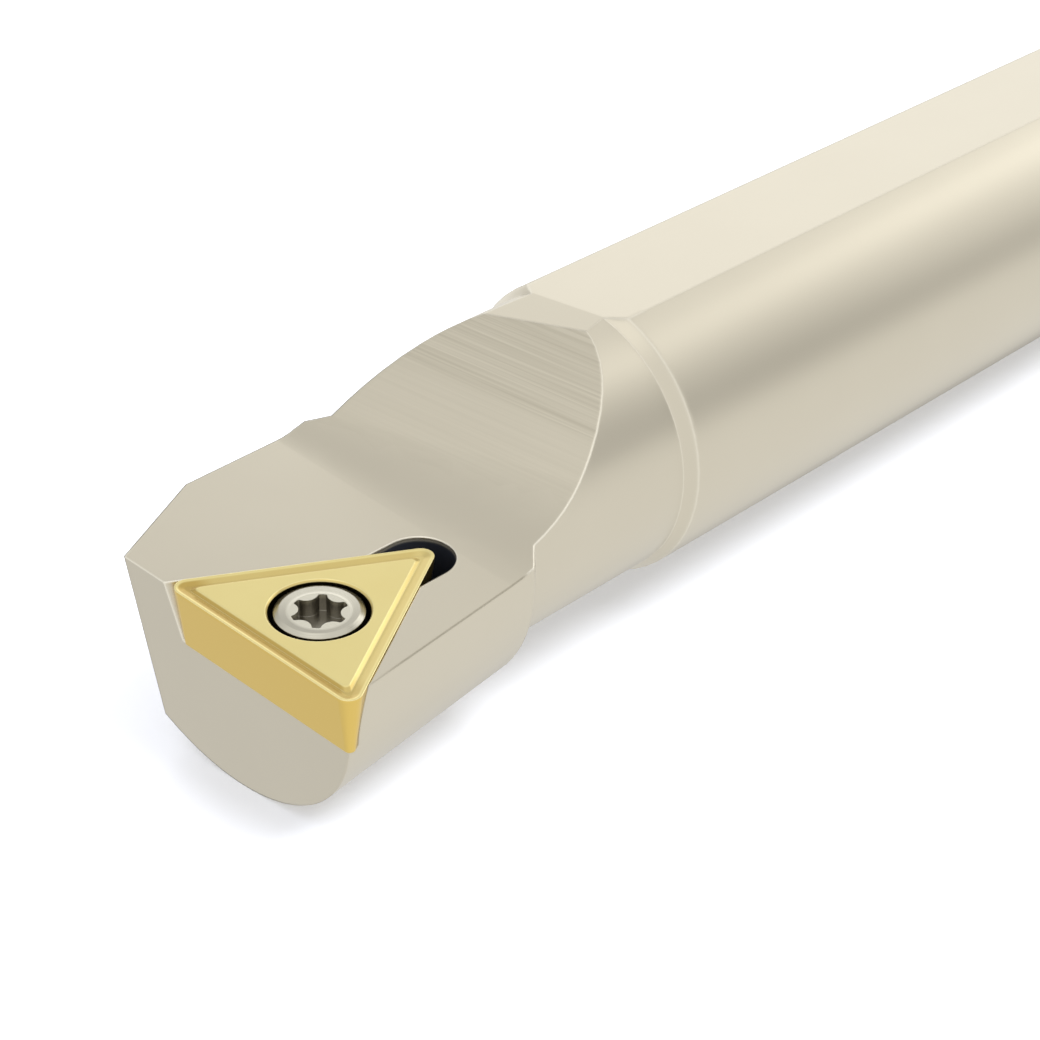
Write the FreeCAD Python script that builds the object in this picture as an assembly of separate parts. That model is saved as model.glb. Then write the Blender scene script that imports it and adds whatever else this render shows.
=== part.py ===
import FreeCAD, Part
import math
import os

os.makedirs("parts", exist_ok=True)

# Boring bar with a clamped three-sided insert, in millimetres.
# Frame: origin at the centre of the rear end face on the bar axis,
# +X along the bar to the cutting head, +Y to the cutting nose, +Z up.

V = FreeCAD.Vector

# Bar
bar_length = 200.0
shank_diameter = 20.0
height_over_top_flat = 9.0
height_under_bottom_flat = 9.0
rear_chamfer = 1.0
round_land_length = 12.0
neck_diameter = 19.0
shoulder_from_nose = 32.4
shoulder_chamfer_length = 0.9
facet_from_nose = 31.6
facet_slope = 3.6

# Cutting head
head_radius_at_nose = 12.25
head_side_angle = 5.0
head_heel_from_nose = 18.45
head_heel_angle = 45.0
head_heel_skew = 2.7
head_left_offset = 10.4
corner_chamfer_from_nose = 8.05
corner_chamfer_angle = 24.5
corner_chamfer_lean = 2.5
front_face_setback = 0.10
head_top_below_edge = 0.05
ramp_foot_from_nose = 18.1
ramp_middle = 12.0
ramp_angle = 33.9
ramp_skew = 6.3
ramp_radius_left = 5.5
ramp_radius_nose = 16.6

# Position of the insert: offset of the sharp nose corner, and three tilts
nose_offset = 13.15
radial_tilt = 5.8
axial_tilt = 0.6
approach_tilt = 1.0

# Insert
insert_edge_length = 16.5
insert_thickness = 3.97
insert_corner_radius = 0.8
insert_relief_angle = 7.0
edge_land_height = 0.2
top_land_width = 0.12
groove_bottom_inset = 0.60
groove_foot_inset = 0.75
plateau_inset = 0.97
groove_depth = 0.16
plateau_corner_radius = 0.25
insert_hole_diameter = 4.4
insert_mouth_diameter = 5.92
insert_mouth_depth = 0.75
insert_mouth_chamfer = 0.12
countersink_half_angle = 30.0

# Clamp screw
head_diameter = 5.3
head_top_below_edge_plane = 0.0
head_rim_width = 0.32
head_rim_drop = 0.16
head_dish_radius = 1.75
head_dish_depth = 0.10
screw_diameter = 4.0
screw_length = 9.0
screw_tip_chamfer = 0.4
thread_clearance = 0.03
recess_radius = 1.68
recess_valley_radius = 1.22
recess_flute_radius = 0.70
recess_depth = 1.25
recess_lobe_angle = 42.0

# Corner relief slot and tapped hole in the pocket
slot_half_width = 2.22
slot_end_from_nose = 12.5
slot_length = 3.0
slot_depth = 5.6
tapped_hole_depth = 10.2
drill_point_half_angle = 59.0


def tan(angle):
    return math.tan(math.radians(angle))


def prism_xz(points, y0, y1):
    """Solid with a polygon outline in the X-Z plane, between two Y planes."""
    ring = [V(x, y0, z) for x, z in points]
    face = Part.Face(Part.makePolygon(ring + [ring[0]]))
    return face.extrude(V(0, y1 - y0, 0))


def rounded_triangle(inset, corner_radius, z):
    """Wire of the insert outline moved inwards, at height z."""
    inradius = insert_edge_length * math.sqrt(3) / 6 - inset
    centre = V(-insert_edge_length * math.sqrt(3) / 6, -insert_edge_length / 2, z)
    corners = []
    for angle in (60, 180, 300):
        direction = V(math.cos(math.radians(angle)), math.sin(math.radians(angle)), 0)
        corners.append(centre + direction * (2 * inradius))
    if corner_radius <= 0:
        return Part.makePolygon(corners + [corners[0]])
    reach = corner_radius * math.sqrt(3)
    edges = []
    starts = []
    ends = []
    for i, corner in enumerate(corners):
        before = (corners[i - 1] - corner).normalize()
        after = (corners[(i + 1) % 3] - corner).normalize()
        outward = (corner - centre).normalize()
        middle = corner - outward * corner_radius
        starts.append(corner + before * reach)
        ends.append(corner + after * reach)
        edges.append(Part.Arc(starts[i], middle, ends[i]).toShape())
        if i:
            edges.append(Part.LineSegment(ends[i - 1], starts[i]).toShape())
    edges.append(Part.LineSegment(ends[2], starts[0]).toShape())
    return Part.Wire(Part.__sortEdges__(edges))


def into_pocket_frame(shape):
    """Move a shape drawn with its origin at the nose corner into the bar."""
    turn = FreeCAD.Rotation(V(1, 0, 0), -radial_tilt)
    turn = turn.multiply(FreeCAD.Rotation(V(0, 1, 0), axial_tilt))
    turn = turn.multiply(FreeCAD.Rotation(V(0, 0, 1), -approach_tilt))
    spot = FreeCAD.Placement(V(bar_length, nose_offset, 0), turn)
    moved = shape.copy()
    moved.Placement = spot.multiply(shape.Placement)
    return moved


def insert_centre():
    """Centre of the insert seen from above, in the pocket frame."""
    return V(-insert_edge_length * math.sqrt(3) / 6, -insert_edge_length / 2, 0)


def turned_blank():
    """Shank, neck and cone of the head, before the heel is cut."""
    shank_r = shank_diameter / 2
    neck_r = neck_diameter / 2
    shoulder_x = bar_length - shoulder_from_nose
    cone_x = bar_length - head_heel_from_nose - 1.5
    side = tan(head_side_angle)
    cone_r = head_radius_at_nose - (bar_length - cone_x) * side
    front_x = bar_length + 1.0
    outline = [
        V(0, 0, 0),
        V(0, 0, shank_r - rear_chamfer),
        V(rear_chamfer, 0, shank_r),
        V(round_land_length, 0, shank_r),
        V(shoulder_x, 0, shank_r),
        V(shoulder_x + shoulder_chamfer_length, 0, neck_r),
        V(cone_x, 0, neck_r),
        V(cone_x, 0, cone_r),
        V(front_x, 0, head_radius_at_nose + side),
        V(front_x, 0, 0),
        V(0, 0, 0),
    ]
    return Part.Face(Part.makePolygon(outline)).revolve(V(0, 0, 0), V(1, 0, 0), 360)


def heel_cut():
    """Space behind the head, bounded by a slightly skewed cone and the neck."""
    neck_r = neck_diameter / 2
    heel_x = bar_length - head_heel_from_nose
    reach = 6.0
    outline = [
        V(heel_x - reach, 0, 0),
        V(heel_x - reach, 0, neck_r + reach),
        V(heel_x + reach / tan(head_heel_angle), 0, neck_r + reach),
        V(heel_x, 0, neck_r),
        V(heel_x, 0, 0),
        V(heel_x - reach, 0, 0),
    ]
    space = Part.Face(Part.makePolygon(outline)).revolve(V(0, 0, 0), V(1, 0, 0), 360)
    space.rotate(V(heel_x, 0, 0), V(0, 0, 1), -head_heel_skew)
    neck = Part.makeCylinder(neck_r, 30, V(heel_x - 15, 0, 0), V(1, 0, 0))
    return space.cut(neck)


def front_face_cut():
    """Everything ahead of the front face, which leans back like the insert."""
    lean = tan(insert_relief_angle)
    points = [
        (40 * lean - front_face_setback, 40),
        (60, 40),
        (60, -40),
        (-40 * lean - front_face_setback, -40),
    ]
    return into_pocket_frame(prism_xz(points, -50, 50))


def head_top_section(y):
    """Outline of the space over the head at one place across it."""
    floor = -head_top_below_edge
    angle = math.radians(ramp_angle)
    foot = -ramp_foot_from_nose - (y + ramp_middle) * tan(ramp_skew)
    share = (y + 2 * ramp_middle) / (2 * ramp_middle)
    radius = ramp_radius_left + (ramp_radius_nose - ramp_radius_left) * share
    start = foot + radius * math.tan(angle / 2)
    end_x = start - radius * math.sin(angle)
    end_z = floor + radius * (1 - math.cos(angle))
    mid_x = start - radius * math.sin(angle / 2)
    mid_z = floor + radius * (1 - math.cos(angle / 2))
    top_z = 20.0
    top_x = end_x - (top_z - end_z) / math.tan(angle)
    edges = [
        Part.LineSegment(V(20, y, floor), V(start, y, floor)).toShape(),
        Part.Arc(V(start, y, floor), V(mid_x, y, mid_z), V(end_x, y, end_z)).toShape(),
        Part.LineSegment(V(end_x, y, end_z), V(top_x, y, top_z)).toShape(),
        Part.LineSegment(V(top_x, y, top_z), V(20, y, top_z)).toShape(),
        Part.LineSegment(V(20, y, top_z), V(20, y, floor)).toShape(),
    ]
    return Part.Wire(edges)


def head_top_cut():
    """Space over the head: flat top, a fillet that widens to the nose, ramp."""
    sections = [head_top_section(-2 * ramp_middle - 4), head_top_section(8)]
    return into_pocket_frame(Part.makeLoft(sections, True, True))


def facet_cut():
    """Shallow facet between the ramp and the top flat."""
    rear_x = bar_length - facet_from_nose
    z = height_over_top_flat
    reach = 12.0
    points = [
        (rear_x, z),
        (rear_x + reach, z - reach * tan(facet_slope)),
        (rear_x + reach, z + 10),
        (rear_x, z + 10),
    ]
    return prism_xz(points, -20, 20)


def flat_cuts():
    """Clamping flats on the top and on the bottom of the bar."""
    top = Part.makeBox(bar_length, 40, 10, V(round_land_length, -20, height_over_top_flat))
    length = bar_length - head_heel_from_nose - round_land_length
    low = -height_under_bottom_flat - 10
    bottom = Part.makeBox(length, 40, 10, V(round_land_length, -20, low))
    return [top, bottom]


def head_side_cuts():
    """Flat on the left of the head and the chamfer at its front corner."""
    heel_x = bar_length - head_heel_from_nose
    left = Part.makeBox(40, 20, 60, V(heel_x - 1, -head_left_offset - 20, -30))
    corner = Part.makeBox(60, 20, 80, V(-30, -20, -40))
    turn = FreeCAD.Rotation(V(0, 0, 1), corner_chamfer_angle)
    turn = turn.multiply(FreeCAD.Rotation(V(1, 0, 0), corner_chamfer_lean))
    spot = V(bar_length - corner_chamfer_from_nose, -head_left_offset, 2.5)
    corner.Placement = FreeCAD.Placement(spot, turn)
    return [left, corner]


def pocket_cuts():
    """Pocket of the insert, relief slot behind its rear corner, tapped hole."""
    slope = tan(insert_relief_angle)
    low = -insert_thickness
    high = 1.5
    low_inset = (insert_thickness - edge_land_height) * slope
    high_inset = low_inset - (high - low) * slope
    pocket = Part.makeLoft(
        [rounded_triangle(low_inset, 0, low), rounded_triangle(high_inset, 0, high)], True, True)
    cy = insert_centre().y
    x0 = -slot_end_from_nose
    x1 = x0 + slot_length
    w = slot_half_width
    height = slot_depth + 1.5
    slot = Part.makeBox(x1 - x0, 2 * w, height, V(x0, cy - w, -slot_depth))
    slot = slot.fuse(Part.makeCylinder(w, height, V(x0, cy, -slot_depth)))
    slot = slot.fuse(Part.makeCylinder(w, height, V(x1, cy, -slot_depth)))
    centre = insert_centre()
    r = screw_diameter / 2
    bore = Part.makeCylinder(r, tapped_hole_depth, centre - V(0, 0, tapped_hole_depth))
    point = r / tan(drill_point_half_angle)
    tip = Part.makeCone(0, r, point, centre - V(0, 0, tapped_hole_depth + point))
    return [into_pocket_frame(s) for s in (pocket, slot.removeSplitter(), bore.fuse(tip))]


def make_bar():
    """The steel bar, all in one piece."""
    bar = turned_blank()
    cuts = [heel_cut()] + flat_cuts() + [facet_cut(), head_top_cut()] + head_side_cuts()
    cuts += [front_face_cut()] + pocket_cuts()
    for cut in cuts:
        bar = bar.cut(cut)
    return bar


def chip_groove():
    """Ring-shaped groove between the top land and the plateau."""
    slope = groove_depth / (groove_bottom_inset - top_land_width)
    over = 0.08
    outer_inset = top_land_width - over / slope
    outer = rounded_triangle(outer_inset, insert_corner_radius - outer_inset, over)
    bottom_r = insert_corner_radius - groove_bottom_inset
    bottom = rounded_triangle(groove_bottom_inset, bottom_r, -groove_depth)
    bowl = Part.makeLoft([bottom, outer], True, True)
    wall = groove_depth / (plateau_inset - groove_foot_inset)
    foot = rounded_triangle(groove_foot_inset, plateau_corner_radius, -groove_depth)
    top = rounded_triangle(plateau_inset + over / wall, plateau_corner_radius, over)
    island = Part.makeLoft([foot, top], True, True)
    return bowl.cut(island)


def insert_hole():
    """Through hole with the cone and the mouth that take the screw head."""
    centre = insert_centre()
    r = insert_hole_diameter / 2
    mouth_r = insert_mouth_diameter / 2
    cone_h = (mouth_r - r) / tan(countersink_half_angle)
    cone_low = -insert_mouth_depth - cone_h
    hole = Part.makeCylinder(r, 8, centre - V(0, 0, 6))
    cone = Part.makeCone(r, mouth_r, cone_h, centre + V(0, 0, cone_low))
    mouth = Part.makeCylinder(mouth_r, 2, centre - V(0, 0, insert_mouth_depth))
    c = insert_mouth_chamfer
    lip = Part.makeCone(mouth_r, mouth_r + 2 * c, 2 * c, centre - V(0, 0, c))
    return hole.fuse([cone, mouth, lip])


def make_insert():
    """Three-sided insert with relieved sides and a chip groove."""
    slope = tan(insert_relief_angle)
    low_inset = (insert_thickness - edge_land_height) * slope
    r = insert_corner_radius
    land_low = rounded_triangle(0, r, -edge_land_height)
    band = Part.makeLoft([land_low, rounded_triangle(0, r, 0)], True, True)
    low = rounded_triangle(low_inset, r - low_inset, -insert_thickness)
    lower = Part.makeLoft([low, land_low], True, True)
    body = lower.fuse(band).removeSplitter()
    body = body.cut(chip_groove())
    return into_pocket_frame(body.cut(insert_hole()))


def lobed_recess(top_z):
    """Six-lobe socket that points down from the screw face."""
    disc = Part.makeCylinder(recess_radius, recess_depth + 1, V(0, 0, top_z - recess_depth))
    reach = recess_valley_radius + recess_flute_radius
    for i in range(6):
        angle = math.radians(recess_lobe_angle + 30 + 60 * i)
        spot = V(reach * math.cos(angle), reach * math.sin(angle), top_z - recess_depth - 1)
        disc = disc.cut(Part.makeCylinder(recess_flute_radius, recess_depth + 3, spot))
    tips = [e for e in disc.Edges if abs(e.tangentAt(e.FirstParameter).z) > 0.99]
    return disc.makeFillet(0.12, tips)


def make_screw():
    """Countersunk clamp screw with a six-lobe recess and a plain stem."""
    r = head_diameter / 2
    top = -head_top_below_edge_plane
    mouth_r = insert_mouth_diameter / 2
    cone_start = -insert_mouth_depth - (mouth_r - r) / tan(countersink_half_angle)
    stem_r = screw_diameter / 2 - thread_clearance
    cone_end = cone_start - (r - stem_r) / tan(countersink_half_angle)
    tip = top - screw_length
    outline = [
        V(0, 0, top - head_dish_depth),
        V(head_dish_radius, 0, top - head_dish_depth),
        V(r - head_rim_width, 0, top),
        V(r, 0, top - head_rim_drop),
        V(r, 0, cone_start),
        V(stem_r, 0, cone_end),
        V(stem_r, 0, tip + screw_tip_chamfer),
        V(stem_r - screw_tip_chamfer, 0, tip),
        V(0, 0, tip),
        V(0, 0, top - head_dish_depth),
    ]
    screw = Part.Face(Part.makePolygon(outline)).revolve(V(0, 0, 0), V(0, 0, 1), 360)
    screw = screw.cut(lobed_recess(top))
    screw.translate(insert_centre())
    return into_pocket_frame(screw)


make_bar().exportStep("parts/bar_body.step")
make_insert().exportStep("parts/cutting_insert.step")
make_screw().exportStep("parts/clamp_screw.step")
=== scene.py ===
import math

import bpy
import numpy as np
from bpy.props import FloatProperty, FloatVectorProperty, PointerProperty
from mathutils import Matrix, Vector


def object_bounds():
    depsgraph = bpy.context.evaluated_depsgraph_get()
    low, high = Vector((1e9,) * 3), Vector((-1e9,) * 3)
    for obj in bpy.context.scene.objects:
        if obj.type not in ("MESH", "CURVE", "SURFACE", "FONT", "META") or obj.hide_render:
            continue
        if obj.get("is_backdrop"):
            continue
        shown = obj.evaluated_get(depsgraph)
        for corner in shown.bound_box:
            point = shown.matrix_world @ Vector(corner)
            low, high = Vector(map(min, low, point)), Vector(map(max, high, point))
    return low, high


bl_info = {
    "name": "Boring bar finishes",
    "version": (1, 0, 0),
    "blender": (4, 5, 0),
    "location": "View3D > Sidebar > Boring bar",
    "description": "Finishes and stage for a boring bar with a clamped three-sided insert",
    "category": "Object",
}

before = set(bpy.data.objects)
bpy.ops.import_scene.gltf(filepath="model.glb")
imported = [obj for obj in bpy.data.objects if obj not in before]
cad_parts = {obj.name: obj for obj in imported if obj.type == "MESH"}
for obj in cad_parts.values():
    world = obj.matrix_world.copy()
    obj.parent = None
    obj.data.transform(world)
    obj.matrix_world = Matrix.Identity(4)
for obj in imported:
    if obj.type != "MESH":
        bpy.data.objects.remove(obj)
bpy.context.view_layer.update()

MM = 0.001

# The insert's pocket: its nose corner in mm, then the three small tilts of its floor in degrees
NOSE = Vector((200.0, 13.15, 0.0))
RADIAL_TILT = 5.8
AXIAL_TILT = 0.6
APPROACH_TILT = 1.0

# Ramp behind the head and facet above it, in degrees, and the turn of the ramp's milling lines
RAMP_ANGLE = 33.9
RAMP_SKEW = 6.3
FACET_SLOPE = 3.6
MILLED_SKEW = 5.7

# Places that carry a shade of their own, in mm in the pocket's frame
INSERT_EDGE = 16.5
INSERT_CENTRE = (-INSERT_EDGE * math.sqrt(3) / 6, -INSERT_EDGE / 2, 0.0)
MOUTH_RADIUS = 2.96
SOCKET_REACH = 1.75
SLOT_CENTRE = (-11.0, -INSERT_EDGE / 2, 0.0)
SLOT_REACH = 4.3
SLOT_DEPTH = 5.6
LAST_PASS_HEIGHT = 4.0
HEAD_MIDDLE = -11.75

# Middle of the shoulder and of the blended edge under the insert's nose, in mm in the bar's frame
SHOULDER_X = 167.15
UNDER_NOSE = (199.0, 11.5, -6.0)

# Directions: edges that lean this way get the painted highlight, and the insert's right edge from
# inside
BRIGHT_SIDE = (0.0, 1.0, 0.3)
INTO_INSERT = (0.5, -math.sqrt(3) / 2, 0.0)

# Sizes of the patterns in mm
PLATE_CLOUD = 8.0
PLATE_GRAIN = 0.2
LINE_SPACING = 0.2
LINE_LENGTH = 33.0
COAT_CLOUD = 3.0
COAT_GRAIN = 0.1
TURNING_FEED = 0.12

# Soft steps, where a shade starts and where it is full: faces and edges by the cosine between
# two directions, streaks by the noise's level, all others in mm
STEPS = {
    "ramp face": (0.985, 0.999),
    "facet face": (0.9985, 0.9995),
    "last pass": (LAST_PASS_HEIGHT - 0.5, LAST_PASS_HEIGHT + 0.3),
    "milling streak": (0.3, 0.7),
    "shoulder": (1.4, 0.8),
    "blended edge": (5.5, 7.5),
    # The edge step below sets where the painted highlight lies along the edges
    "worn edge": (0.998, 0.95),
    "turned away": (0.12, -0.12),
    # The four steps below place the painted dark line on the head's long top edges
    "dark line at top": (0.7, 0.4),
    "dark line at side": (7.5, 8.5),
    "dark line on head": (-16.2, -15.4),
    "dark line behind front": (-0.6, -1.4),
    "slot rim": (-0.10, -0.45),
    "slot side": (SLOT_REACH + 0.3, SLOT_REACH),
    "slot floor": (-SLOT_DEPTH - 0.6, -SLOT_DEPTH - 0.2),
    "groove": (-0.01, -0.06),
    "front groove": (-2.4, -1.3),
    "right groove": (1.0, 1.5),
    "flank": (0.55, 0.35),
    # The step below sets where the painted highlight lies on the insert's edges
    "honed edge": (0.995, 0.93),
    "mouth rim": (-0.06, -0.25),
    "mouth side": (MOUTH_RADIUS + 0.05, MOUTH_RADIUS - 0.02),
    "socket rim": (-0.14, -0.5),
    "socket side": (SOCKET_REACH + 0.1, SOCKET_REACH),
    "ring": (SOCKET_REACH + 0.05, SOCKET_REACH + 0.25),
}

# Shares of a full shade: milling lines below the last pass, and the groove's painted shade along
# the insert's rear and right edges
FAINT_LINES = 0.25
REAR_GROOVE = 0.55
RIGHT_GROOVE = 0.7

# Settings that many nodes share
SMOOTH = {"interpolation_type": "SMOOTHSTEP"}
COLOURS = {"data_type": "RGBA"}
BEVEL_SAMPLES = 8

# Camera in mm: where it stands, the point it looks at, and its roll in degrees
CAMERA_PLACE = Vector((272.33, 98.53, 72.30))
CAMERA_AIM = Vector((179.11, 5.48, 0.0))
CAMERA_ROLL = -2.754
SENSOR_WIDTH = 36.0
CLIP_START = 0.01

# Soft windows and cards round the object, in degrees: azimuth from +X towards +Y,
# elevation, outer and inner radius of the soft edge, then what each adds to the room's level
ROOM_PANELS = {
    "rear window": (226.0, 8.0, 36.0, 13.0, 0.63),
    "side window": (163.0, 18.0, 30.0, 5.0, 1.0),
    "side card": (146.0, 16.0, 28.0, 2.0, -0.74),
    "ceiling card": (254.0, 38.0, 49.0, 17.0, -0.26),
    "front card": (270.0, -40.0, 80.0, 19.0, -0.18),
    "horizon card": (208.0, -14.0, 34.0, 14.0, -0.7),
    "overhead window": (25.0, 72.0, 27.0, 8.0, 0.35),
}

# Soft disk lamps that only shape the shadow on the floor, in metres; each with its azimuth and
# elevation in degrees and its share of the lamp power
LAMP_SIZE = 0.5
LAMP_DISTANCE = 0.9
LAMPS = {
    "side_lamp": (108.0, 57.0, 1.0),
    "fill_lamp": (245.0, 45.0, 0.2),
}

# Floor in metres, and the cool tint of its shadow
FLOOR_HALF_WIDTH = 2.5
SHADOW_TINT = (0.945, 0.97, 1.05)


def linear_colour(code):
    """sRGB hex code turned to linear red, green and blue with alpha 1."""
    srgb = np.array([int(code[i:i + 2], 16) for i in (1, 3, 5)]) / 255.0
    low = srgb / 12.92
    high = ((srgb + 0.055) / 1.055) ** 2.4
    return tuple(float(c) for c in np.where(srgb <= 0.04045, low, high)) + (1.0,)


def direction(azimuth, elevation):
    """Unit vector at an azimuth from +X towards +Y and an elevation, in degrees."""
    a = math.radians(azimuth)
    e = math.radians(elevation)
    return Vector((math.cos(e) * math.cos(a), math.cos(e) * math.sin(a), math.sin(e)))


def pocket_turn(skew=0.0):
    """Rotation of the pocket's frame: its three tilts, then a skew about its own upright."""
    turn = Matrix.Rotation(math.radians(-RADIAL_TILT), 3, "X")
    turn = turn @ Matrix.Rotation(math.radians(AXIAL_TILT), 3, "Y")
    return turn @ Matrix.Rotation(math.radians(skew - APPROACH_TILT), 3, "Z")


def add_node(tree, kind, inputs=(), **settings):
    """Adds a shader node; an input that is given a socket is linked, any other gets the value."""
    node = tree.nodes.new("ShaderNode" + kind)
    for name, value in settings.items():
        setattr(node, name, value)
    for name, value in dict(inputs).items():
        if isinstance(value, bpy.types.NodeSocket):
            tree.links.new(value, node.inputs[name])
        else:
            node.inputs[name].default_value = value
    return node


def step(name):
    """Start and full end of a soft step, as Map Range takes them."""
    start, full = STEPS[name]
    return {"From Min": start, "From Max": full}


def place_on(tree, skew=None):
    """Object coordinates in mm; with a skew, from the nose corner along the pocket's own axes."""
    turn = Matrix.Identity(3) if skew is None else pocket_turn(skew).transposed()
    start = Vector() if skew is None else turn @ NOSE
    coords = add_node(tree, "TexCoord").outputs["Object"]
    return add_node(tree, "Mapping", {
        "Vector": coords, "Scale": (1 / MM,) * 3, "Rotation": turn.to_euler(), "Location": -start,
    }).outputs["Vector"]


def from_upright(tree, pocket, centre):
    """Distance in mm from an upright of the pocket that stands at a centre on its floor."""
    flat = add_node(tree, "VectorMath", {
        0: pocket, 1: (1.0, 1.0, 0.0)}, operation="MULTIPLY").outputs[0]
    return add_node(tree, "VectorMath", {
        0: flat, 1: centre}, operation="DISTANCE").outputs["Value"]


def off_by(tree, value, middle):
    """How far a value lies from a middle, to either side."""
    offset = add_node(tree, "Math", {0: value, 1: middle}, operation="SUBTRACT").outputs[0]
    return add_node(tree, "Math", {0: offset}, operation="ABSOLUTE").outputs[0]


def overlap(tree, *masks):
    """Where all the masks meet: their product."""
    result = masks[0]
    for mask in masks[1:]:
        result = add_node(tree, "Math", {0: result, 1: mask}, operation="MULTIPLY").outputs[0]
    return result


def by_facing(tree, toward, name):
    """Mask of faces by the cosine between their own normal and a direction."""
    facing = add_node(tree, "NewGeometry").outputs["True Normal"]
    along = add_node(tree, "VectorMath", {
        0: facing, 1: toward}, operation="DOT_PRODUCT").outputs["Value"]
    return add_node(tree, "MapRange", {"Value": along, **step(name)}, **SMOOTH).outputs["Result"]


def rounded_edges(tree, radius, name, shine):
    """Normal rounded over the edges, and a mask of where it leaves the face's own normal."""
    edge = add_node(tree, "Bevel", {"Radius": radius}, samples=BEVEL_SAMPLES).outputs["Normal"]
    facing = add_node(tree, "NewGeometry").outputs["True Normal"]
    agree = add_node(tree, "VectorMath", {
        0: facing, 1: edge}, operation="DOT_PRODUCT").outputs["Value"]
    mask = add_node(tree, "MapRange", {"Value": agree, **step(name), "To Max": shine}, **SMOOTH)
    return edge, mask.outputs["Result"]


def metal(name, build):
    """Material of one metal shader; build gets its tree and returns the shader's inputs."""
    material = bpy.data.materials.new(name)
    material.use_nodes = True
    tree = material.node_tree
    tree.nodes.clear()
    shader = add_node(tree, "BsdfPrincipled", {"Metallic": 1.0, **build(tree)})
    add_node(tree, "OutputMaterial", {"Surface": shader.outputs["BSDF"]})
    return material


def milling_streaks(tree, height):
    """Streaks along the ramp's last pass, and how far they cover the face: fully above the
    height of that pass, faintly below it, and not at all off the ramp."""
    slope = math.tan(math.radians(RAMP_ANGLE))
    sideways = slope * math.tan(math.radians(RAMP_SKEW))
    upright = pocket_turn() @ Vector((slope, sideways, 1.0)).normalized()
    last_pass = add_node(tree, "MapRange", {
        "Value": height, **step("last pass"), "To Min": FAINT_LINES}, **SMOOTH).outputs["Result"]
    stretched = add_node(tree, "Mapping", {
        "Vector": place_on(tree, MILLED_SKEW),
        "Scale": (1 / LINE_SPACING, 1 / LINE_LENGTH, 1 / LINE_SPACING)}).outputs["Vector"]
    streak = add_node(tree, "TexNoise", {
        "Vector": stretched, "Scale": 1.0, "Detail": 2.0, "Roughness": 0.7}).outputs["Fac"]
    return streak, overlap(tree, by_facing(tree, upright, "ramp face"), last_pass)


def long_edge_shade_line(tree, spot):
    """Mask of the head's two long top edges, clear of its front face and of the ramp."""
    masks = [add_node(tree, "MapRange", {"Value": value, **step(name)}, **SMOOTH).outputs["Result"]
             for value, name in (
                 (off_by(tree, spot.outputs["Z"], 0.0), "dark line at top"),
                 (off_by(tree, spot.outputs["Y"], HEAD_MIDDLE), "dark line at side"),
                 (spot.outputs["X"], "dark line on head"),
                 (spot.outputs["X"], "dark line behind front"))]
    return overlap(tree, *masks)


def inside_slot(tree, pocket, height):
    """Mask of the relief slot's wall and floor."""
    masks = [add_node(tree, "MapRange", {"Value": value, **step(name)}, **SMOOTH).outputs["Result"]
             for value, name in (
                 (height, "slot rim"),
                 (from_upright(tree, pocket, SLOT_CENTRE), "slot side"),
                 (height, "slot floor"))]
    return overlap(tree, *masks)


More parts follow.
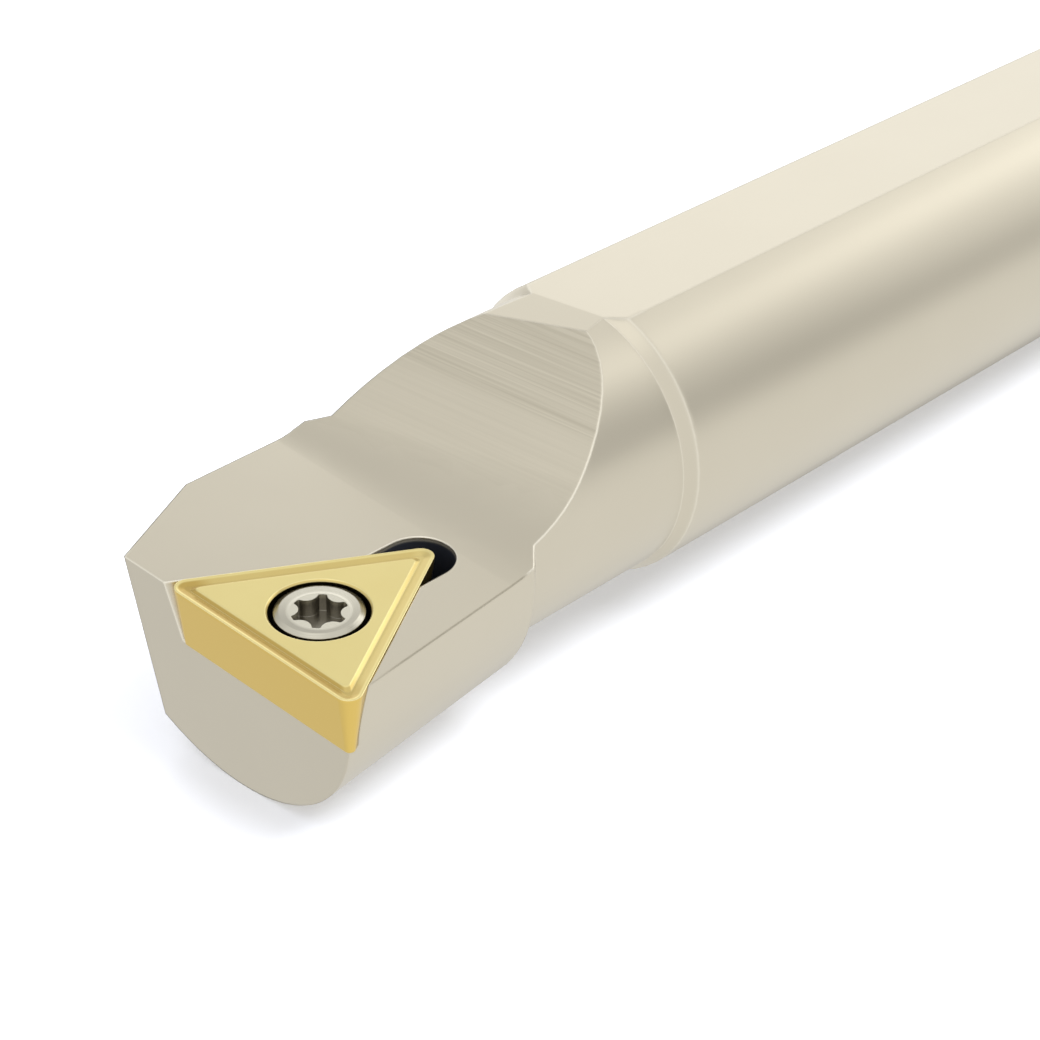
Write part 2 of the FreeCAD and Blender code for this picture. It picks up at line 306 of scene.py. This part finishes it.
def satin_nickel_plate(settings):
    """Nickel plate over milled and turned steel, blasted fine: a warm pale grey that mirrors the
    room softly, with fine lines on the ramp, painted highlights on the edges and painted shade
    on the facet, on edges turned away and in the relief slot."""

    def build(tree):
        place = place_on(tree)
        pocket = place_on(tree, 0.0)
        spot = add_node(tree, "SeparateXYZ", {"Vector": pocket})
        height = spot.outputs["Z"]

        # Slow clouds in the plate
        cloud = add_node(tree, "TexNoise", {
            "Vector": place, "Scale": 1 / PLATE_CLOUD, "Detail": 3.0}).outputs["Fac"]
        tone = add_node(tree, "Mix", {
            0: cloud, 6: settings.plate_shade, 7: settings.plate_colour}, **COLOURS).outputs[2]

        # Milling lines of the ramp's last pass: feed 0.15 mm, drawn 0.2 mm apart so that they show
        streak, milled = milling_streaks(tree, height)
        lines = add_node(tree, "MapRange", {
            "Value": streak, **step("milling streak")}).outputs["Result"]
        lines = add_node(tree, "Mix", {
            0: lines, 6: settings.milled_shade, 7: settings.milled_light}, **COLOURS).outputs[2]
        tone = add_node(tree, "Mix", {0: milled, 6: tone, 7: lines}, **COLOURS).outputs[2]

        # The facet behind the ramp, milled too, gets painted shade picked by the way it faces
        tilt = math.radians(FACET_SLOPE)
        on_facet = by_facing(tree, (math.sin(tilt), 0.0, math.cos(tilt)), "facet face")
        tone = add_node(tree, "Mix", {
            0: on_facet, 6: tone, 7: settings.facet_shade_colour}, **COLOURS).outputs[2]

        # A painted highlight lies on the edges as light lines, softer and wider on the shoulder,
        # and fades out round the insert's nose
        along = add_node(tree, "SeparateXYZ", {"Vector": place}).outputs["X"]
        radius = add_node(tree, "MapRange", {
            "Value": off_by(tree, along, SHOULDER_X), **step("shoulder"),
            "To Min": settings.edge_radius, "To Max": settings.shoulder_radius}, **SMOOTH)
        from_nose = add_node(tree, "VectorMath", {
            0: place, 1: UNDER_NOSE}, operation="DISTANCE").outputs["Value"]
        shine = add_node(tree, "MapRange", {
            "Value": from_nose, **step("blended edge"), "To Max": settings.edge_shine}, **SMOOTH)
        edge, plate_highlight = rounded_edges(
            tree, radius.outputs["Result"], "worn edge", shine.outputs["Result"])

        # The head's long top edges get a painted dark line in place of the highlight, and edges
        # turned down or to the far side get painted shade
        line = add_node(tree, "Mix", {
            0: long_edge_shade_line(tree, spot), 6: settings.edge_highlight_colour, 7: settings.shade_line_colour},
            **COLOURS).outputs[2]
        lean = add_node(tree, "VectorMath", {
            0: edge, 1: BRIGHT_SIDE}, operation="DOT_PRODUCT").outputs["Value"]
        shaded_edge = add_node(tree, "MapRange", {
            "Value": lean, **step("turned away")}).outputs["Result"]
        line = add_node(tree, "Mix", {
            0: shaded_edge, 6: line, 7: settings.shaded_edge_colour}, **COLOURS).outputs[2]
        tone = add_node(tree, "Mix", {0: plate_highlight, 6: tone, 7: line}, **COLOURS).outputs[2]

        # Painted shade in the relief slot behind the insert: a dark colour, and no metal there
        in_slot = inside_slot(tree, pocket, height)
        tone = add_node(tree, "Mix", {
            0: in_slot, 6: tone, 7: settings.slot_shade_colour}, **COLOURS).outputs[2]
        metal_off_slot = add_node(tree, "Math", {0: 1.0, 1: in_slot}, operation="SUBTRACT").outputs[0]

        # Blasted grain, and the lines' own relief
        grain = add_node(tree, "TexNoise", {
            "Vector": place, "Scale": 1 / PLATE_GRAIN, "Detail": 2.0}).outputs["Fac"]
        ridges = overlap(tree, milled, streak)
        relief = add_node(tree, "Math", {
            0: grain, 1: 0.03, 2: ridges}, operation="MULTIPLY_ADD").outputs[0]
        bump = add_node(tree, "Bump", {
            "Height": relief, "Normal": edge, "Strength": settings.line_strength,
            "Distance": 0.05 * MM})
        return {"Base Color": tone, "Metallic": metal_off_slot, "Roughness": settings.plate_roughness,
                "Normal": bump.outputs["Normal"]}

    return metal("satin_nickel_plate", build)


def gold_nitride_coating(settings):
    """Titanium nitride over pressed and ground carbide: satin gold, with painted shade in the
    pressed groove, on the ground flanks and in the screw's mouth, and painted highlights on the
    cutting edges."""

    def build(tree):
        place = place_on(tree)
        pocket = place_on(tree, 0.0)
        spot = add_node(tree, "SeparateXYZ", {"Vector": pocket})

        # Slow clouds in the coating
        cloud = add_node(tree, "TexNoise", {
            "Vector": place, "Scale": 1 / COAT_CLOUD, "Detail": 3.0}).outputs["Fac"]
        tone = add_node(tree, "Mix", {
            0: cloud, 6: settings.coat_shade, 7: settings.coat_colour}, **COLOURS).outputs[2]

        # Painted shade in the pressed chip groove, darkest along the front edge
        low = add_node(tree, "MapRange", {
            "Value": spot.outputs["Z"], **step("groove")}, **SMOOTH).outputs["Result"]
        forward = add_node(tree, "MapRange", {
            "Value": spot.outputs["X"], **step("front groove"), "To Min": REAR_GROOVE}, **SMOOTH)
        inward = add_node(tree, "VectorMath", {
            0: pocket, 1: INTO_INSERT}, operation="DOT_PRODUCT").outputs["Value"]
        off_right = add_node(tree, "MapRange", {
            "Value": inward, **step("right groove"), "To Min": RIGHT_GROOVE}, **SMOOTH)
        groove = overlap(tree, low, forward.outputs["Result"], off_right.outputs["Result"])
        tone = add_node(tree, "Mix", {
            0: groove, 6: tone, 7: settings.groove_shade_colour}, **COLOURS).outputs[2]

        # Painted shade on the ground flanks, picked by the way they face
        flank = by_facing(tree, pocket_turn() @ Vector((0.0, 0.0, 1.0)), "flank")
        tone = add_node(tree, "Mix", {
            0: flank, 6: tone, 7: settings.flank_shade_colour}, **COLOURS).outputs[2]

        # A painted highlight lies on the honed cutting edges as light lines
        edge, honed = rounded_edges(
            tree, settings.edge_radius, "honed edge", settings.edge_shine)
        tone = add_node(tree, "Mix", {
            0: honed, 6: tone, 7: settings.edge_highlight_colour}, **COLOURS).outputs[2]

        # Painted shade inside the screw's mouth, dark brown
        deep = add_node(tree, "MapRange", {
            "Value": spot.outputs["Z"], **step("mouth rim")}, **SMOOTH).outputs["Result"]
        near = add_node(tree, "MapRange", {
            "Value": from_upright(tree, pocket, INSERT_CENTRE), **step("mouth side")}, **SMOOTH)
        mouth = overlap(tree, deep, near.outputs["Result"])
        tone = add_node(tree, "Mix", {
            0: mouth, 6: tone, 7: settings.mouth_shade_colour}, **COLOURS).outputs[2]

        # Carbide grain, real 0.001 mm, drawn 0.1 mm wide so that it shows
        grain = add_node(tree, "TexNoise", {
            "Vector": place, "Scale": 1 / COAT_GRAIN, "Detail": 2.0}).outputs["Fac"]
        bump = add_node(tree, "Bump", {
            "Height": grain, "Normal": edge, "Strength": 0.12, "Distance": 0.01 * MM})
        return {"Base Color": tone, "Roughness": settings.coat_roughness,
                "Normal": bump.outputs["Normal"]}

    return metal("gold_nitride_coating", build)


def turned_screw_steel(settings):
    """Bright steel, turned on the face and punched in the socket: light grey with fine rings
    on a crowned face, with painted shade on the ring round the socket and more in the socket."""

    def build(tree):
        pocket = place_on(tree, 0.0)
        height = add_node(tree, "SeparateXYZ", {"Vector": pocket}).outputs["Z"]
        radius = from_upright(tree, pocket, INSERT_CENTRE)
        # Painted shade in the socket
        deep = add_node(tree, "MapRange", {
            "Value": height, **step("socket rim")}, **SMOOTH).outputs["Result"]
        near = add_node(tree, "MapRange", {
            "Value": radius, **step("socket side")}, **SMOOTH).outputs["Result"]
        tone = add_node(tree, "Mix", {
            0: overlap(tree, deep, near), 6: settings.screw_colour, 7: settings.socket_shade_colour},
            **COLOURS).outputs[2]

        # Painted shade on the crowned ring round the socket
        ring = add_node(tree, "MapRange", {
            "Value": radius, **step("ring")}, **SMOOTH).outputs["Result"]
        tone = add_node(tree, "Mix", {
            0: ring, 6: tone, 7: settings.ring_shade_colour}, **COLOURS).outputs[2]

        # Turning rings on a face that is crowned from the socket outwards
        wave = add_node(tree, "Math", {
            0: radius, 1: 2 * math.pi / TURNING_FEED}, operation="MULTIPLY").outputs[0]
        rings = add_node(tree, "Math", {0: wave}, operation="SINE").outputs[0]
        edge = add_node(tree, "Bevel", {
            "Radius": settings.edge_radius}, samples=BEVEL_SAMPLES).outputs["Normal"]
        outward = add_node(tree, "Math", {
            0: radius, 1: SOCKET_REACH}, operation="SUBTRACT").outputs[0]
        fall = add_node(tree, "Math", {0: outward, 1: 0.0}, operation="MAXIMUM").outputs[0]
        crown = add_node(tree, "Math", {
            0: fall, 1: -settings.face_slope}, operation="MULTIPLY").outputs[0]
        crowned = add_node(tree, "Bump", {
            "Height": crown, "Normal": edge, "Strength": 1.0, "Distance": MM})
        bump = add_node(tree, "Bump", {
            "Height": rings, "Normal": crowned.outputs["Normal"], "Strength": 0.10,
            "Distance": 0.01 * MM})
        return {"Base Color": tone, "Roughness": settings.screw_roughness,
                "Normal": bump.outputs["Normal"]}

    return metal("turned_screw_steel", build)


def dress(node, material):
    """Gives a CAD node its material in every slot."""
    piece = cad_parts[node]
    if not piece.material_slots:
        piece.data.materials.append(material)
    for slot in piece.material_slots:
        slot.material = material


def colour(name, description, code):
    """Colour setting whose default is an sRGB hex code."""
    return FloatVectorProperty(
        name=name, description=description, subtype="COLOR", size=4, min=0.0, max=1.0,
        default=linear_colour(code))


def share(name, description, default):
    """Setting between 0 and 1."""
    return FloatProperty(
        name=name, description=description, default=default, min=0.0, max=1.0, subtype="FACTOR")


def radius_in_mm(name, description, default):
    """Radius whose default is given in mm."""
    return FloatProperty(
        name=name, description=description, default=default * MM, min=0.0,
        subtype="DISTANCE", unit="LENGTH")


class BarSettings(bpy.types.PropertyGroup):
    plate_colour: colour("Plate colour", "Colour of the nickel plate", "#D1CAB8")
    plate_shade: colour("Plate shade", "Darker tone in the plate", "#CDC6B4")
    milled_light: colour("Milled light", "Light milling lines on the ramp", "#D1CAB8")
    milled_shade: colour("Milled shade", "Dark milling lines on the ramp", "#BFB8A6")
    # Painted highlight on the edges
    edge_highlight_colour: colour("Edge colour", "Plate on the worn edges", "#F4EFE0")
    # Painted shade on the facet
    facet_shade_colour: colour("Facet colour", "Milled facet behind the ramp", "#C8C1AF")
    # Painted dark line on the head's long top edges
    shade_line_colour: colour("Dark line colour", "Thin dark line on the head's long top edges", "#9C9583")
    # Painted shade on edges turned down or to the far side
    shaded_edge_colour: colour("Dull edge colour", "Edges turned down or to the far side", "#6E695C")
    # Painted shade in the relief slot
    slot_shade_colour: colour("Slot colour", "Painted shade in the relief slot behind the insert", "#2A2D35")
    plate_roughness: share("Plate roughness", "Roughness of the satin plate", 0.32)
    line_strength: share("Milling lines", "Strength of the milling lines and the grain", 0.12)
    edge_shine: share("Edge shine", "How much the edges take on the edge colour", 0.7)
    edge_radius: radius_in_mm("Edge radius", "Radius that rounds the edges in the light", 0.22)
    shoulder_radius: radius_in_mm(
        "Shoulder radius", "Radius that rounds the shoulder in the light", 0.6)


class InsertSettings(bpy.types.PropertyGroup):
    coat_colour: colour("Coating colour", "Colour of the gold nitride coating", "#EADB99")
    coat_shade: colour("Coating shade", "Deeper tone in the coating", "#E5D490")
    # Painted shade in the chip groove
    groove_shade_colour: colour("Groove colour", "Coating in the chip groove", "#BFA45C")
    # Painted shade on the flanks
    flank_shade_colour: colour("Flank colour", "Coating on the ground flanks", "#DEC06A")
    # Painted highlight on the cutting edges
    edge_highlight_colour: colour("Edge colour", "Coating on the honed cutting edges", "#FBF1BE")
    edge_shine: share("Edge shine", "How much the edges take on the edge colour", 0.6)
    # Painted shade inside the screw's mouth
    mouth_shade_colour: colour("Mouth colour", "Painted shade inside the screw's mouth", "#2A2318")
    coat_roughness: share("Coating roughness", "Roughness of the coating", 0.30)
    edge_radius: radius_in_mm("Edge radius", "Honed radius of the cutting edges", 0.10)


class ScrewSettings(bpy.types.PropertyGroup):
    screw_colour: colour("Screw colour", "Colour of the screw's steel", "#DAD6C6")
    # Painted shade on the ring round the socket
    ring_shade_colour: colour("Ring colour", "Painted shade on the ring round the socket", "#C3BFB0")
    # Painted shade in the socket
    socket_shade_colour: colour("Socket colour", "Painted shade in the socket", "#9A968C")
    face_slope: FloatProperty(
        name="Face slope", description="Fall of the crowned face per length outwards",
        default=0.32, min=0.0)
    screw_roughness: share("Screw roughness", "Roughness of the screw", 0.26)
    edge_radius: radius_in_mm("Edge radius", "Radius that rounds the screw's edges", 0.06)


class StageSettings(bpy.types.PropertyGroup):
    lens: FloatProperty(
        name="Lens", description="Focal length of the camera in mm", default=85.55, min=1.0)
    room_level: FloatProperty(
        name="Room level", description="Light of the white room between its panels",
        default=1.03, min=0.0)
    lamp_power: FloatProperty(
        name="Lamp power", description="Power in watts of the side lamp that throws the shadow",
        default=7.0, min=0.0)
    floor_white: FloatProperty(
        name="Floor white", description="Tone of the floor as the camera sees it",
        default=1.03, min=0.0)
    floor_lift: share("Floor lift", "Share of plain white that lightens the shadow", 0.18)
    floor_grey: share("Floor grey", "Tone of the floor in the light it returns", 0.80)


class OBJECT_OT_finish_bar(bpy.types.Operator):
    """Satin nickel plate on the bar"""
    bl_idname = "object.finish_bar"
    bl_label = "Finish the bar"

    def execute(self, context):
        dress("bar_body", satin_nickel_plate(context.scene.bar_settings))
        return {"FINISHED"}


class OBJECT_OT_finish_insert(bpy.types.Operator):
    """Gold nitride coating on the insert"""
    bl_idname = "object.finish_insert"
    bl_label = "Finish the insert"

    def execute(self, context):
        dress("cutting_insert", gold_nitride_coating(context.scene.insert_settings))
        return {"FINISHED"}


class OBJECT_OT_finish_screw(bpy.types.Operator):
    """Turned steel on the clamp screw"""
    bl_idname = "object.finish_screw"
    bl_label = "Finish the clamp screw"

    def execute(self, context):
        dress("clamp_screw", turned_screw_steel(context.scene.screw_settings))
        return {"FINISHED"}


def white_room(settings):
    """World: plain white to the camera, white with soft windows and cards to the metal."""
    world = bpy.data.worlds.new("white_room")
    world.use_nodes = True
    tree = world.node_tree
    tree.nodes.clear()
    outward = add_node(tree, "TexCoord").outputs["Generated"]
    level = settings.room_level
    for azimuth, elevation, outer, inner, strength in ROOM_PANELS.values():
        toward = add_node(tree, "VectorMath", {
            0: outward, 1: direction(azimuth, elevation)}, operation="DOT_PRODUCT")
        panel = add_node(tree, "MapRange", {
            "Value": toward.outputs["Value"], "From Min": math.cos(math.radians(outer)),
            "From Max": math.cos(math.radians(inner)), "To Max": strength}, **SMOOTH)
        level = add_node(tree, "Math", {
            0: panel.outputs["Result"], 1: level}, operation="ADD").outputs[0]
    white = linear_colour("#FFFFFF")
    room = add_node(tree, "Background", {"Color": white, "Strength": level})
    plain = add_node(tree, "Background", {"Color": white, "Strength": 1.0})
    path = add_node(tree, "LightPath")
    seen = add_node(tree, "Math", {
        0: path.outputs["Is Camera Ray"], 1: path.outputs["Is Transmission Ray"]},
        operation="MAXIMUM").outputs[0]
    mix = add_node(tree, "MixShader", {0: seen, 1: room.outputs[0], 2: plain.outputs[0]})
    add_node(tree, "OutputWorld", {"Surface": mix.outputs[0]})
    return world


def seamless_white_paper(settings):
    """Matt paper: white with a cool shadow to the camera, open to the room in the metal."""
    material = bpy.data.materials.new("seamless_white_paper")
    material.use_nodes = True
    tree = material.node_tree
    tree.nodes.clear()
    path = add_node(tree, "LightPath")
    seen = tuple(settings.floor_white * part for part in SHADOW_TINT) + (1.0,)
    tone = add_node(tree, "Mix", {
        0: path.outputs["Is Camera Ray"], 6: (settings.floor_grey,) * 3 + (1.0,), 7: seen},
        **COLOURS).outputs[2]
    matt = add_node(tree, "BsdfDiffuse", {"Color": tone})
    glow = add_node(tree, "Emission", {"Color": linear_colour("#FFFFFF"), "Strength": 1.0})
    lift = add_node(tree, "Math", {
        0: path.outputs["Is Camera Ray"], 1: settings.floor_lift}, operation="MULTIPLY").outputs[0]
    paper = add_node(tree, "MixShader", {0: lift, 1: matt.outputs[0], 2: glow.outputs[0]})
    clear = add_node(tree, "BsdfTransparent")
    mix = add_node(tree, "MixShader", {
        0: path.outputs["Is Glossy Ray"], 1: paper.outputs[0], 2: clear.outputs[0]})
    add_node(tree, "OutputMaterial", {"Surface": mix.outputs[0]})
    return material


def lay_floor(scene, settings):
    """Paper floor at the height of the object's lowest point."""
    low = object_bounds()[0][2]
    half = FLOOR_HALF_WIDTH
    corners = [(-half, -half, low), (half, -half, low), (half, half, low), (-half, half, low)]
    mesh = bpy.data.meshes.new("floor")
    mesh.from_pydata(corners, [], [(0, 1, 2, 3)])
    floor = bpy.data.objects.new("floor", mesh)
    floor.data.materials.append(seamless_white_paper(settings))
    scene.collection.objects.link(floor)
    floor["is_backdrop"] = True


def hang_lamps(scene, settings):
    """Soft lamps, hidden from the metal, which mirrors only the room."""
    for name, (azimuth, elevation, portion) in LAMPS.items():
        light = bpy.data.lights.new(name, "AREA")
        light.shape = "DISK"
        light.size = LAMP_SIZE
        light.energy = settings.lamp_power * portion
        lamp = bpy.data.objects.new(name, light)
        aim = direction(azimuth, elevation)
        lamp.location = CAMERA_AIM * MM + aim * LAMP_DISTANCE
        lamp.rotation_euler = aim.to_track_quat("Z", "Y").to_euler()
        lamp.visible_glossy = False
        scene.collection.objects.link(lamp)


def place_camera(scene, settings):
    """Camera at the photograph's place, with its long lens and slight roll."""
    optics = bpy.data.cameras.new("camera")
    optics.lens = settings.lens
    optics.sensor_width = SENSOR_WIDTH
    optics.sensor_fit = "HORIZONTAL"
    optics.clip_start = CLIP_START
    camera = bpy.data.objects.new("camera", optics)
    camera.location = CAMERA_PLACE * MM
    look = (CAMERA_PLACE - CAMERA_AIM).to_track_quat("Z", "Y").to_matrix()
    roll = Matrix.Rotation(math.radians(CAMERA_ROLL), 3, "Z")
    camera.rotation_euler = (look @ roll).to_euler()
    scene.collection.objects.link(camera)
    bpy.context.scene.camera = camera


class OBJECT_OT_set_stage(bpy.types.Operator):
    """Floor, soft light and camera"""
    bl_idname = "object.set_stage"
    bl_label = "Set the stage"

    def execute(self, context):
        scene = context.scene
        settings = scene.stage_settings
        scene.view_settings.view_transform = "Standard"
        scene.world = white_room(settings)
        lay_floor(scene, settings)
        hang_lamps(scene, settings)
        place_camera(scene, settings)
        return {"FINISHED"}


class VIEW3D_PT_boring_bar(bpy.types.Panel):
    """Boring bar finishes"""
    bl_label = "Boring bar"
    bl_idname = "VIEW3D_PT_boring_bar"
    bl_space_type = "VIEW_3D"
    bl_region_type = "UI"
    bl_category = "Boring bar"

    def draw(self, context):
        for name in GROUPS:
            box = self.layout.box()
            group = getattr(context.scene, name)
            for setting in group.__annotations__:
                box.prop(group, setting)
        for name in OPERATORS:
            self.layout.operator("object." + name)


OPERATORS = ("finish_bar", "finish_insert", "finish_screw", "set_stage")

GROUPS = {
    "bar_settings": BarSettings,
    "insert_settings": InsertSettings,
    "screw_settings": ScrewSettings,
    "stage_settings": StageSettings,
}

CLASSES = tuple(GROUPS.values()) + (
    OBJECT_OT_finish_bar, OBJECT_OT_finish_insert, OBJECT_OT_finish_screw, OBJECT_OT_set_stage,
    VIEW3D_PT_boring_bar,
)


def register():
    for cls in CLASSES:
        bpy.utils.register_class(cls)
    for name, group in GROUPS.items():
        setattr(bpy.types.Scene, name, PointerProperty(type=group))


def unregister():
    for name in GROUPS:
        delattr(bpy.types.Scene, name)
    for cls in reversed(CLASSES):
        bpy.utils.unregister_class(cls)


def main():
    register()
    for name in OPERATORS:
        getattr(bpy.ops.object, name)()


if __name__ == "__main__":
    main()
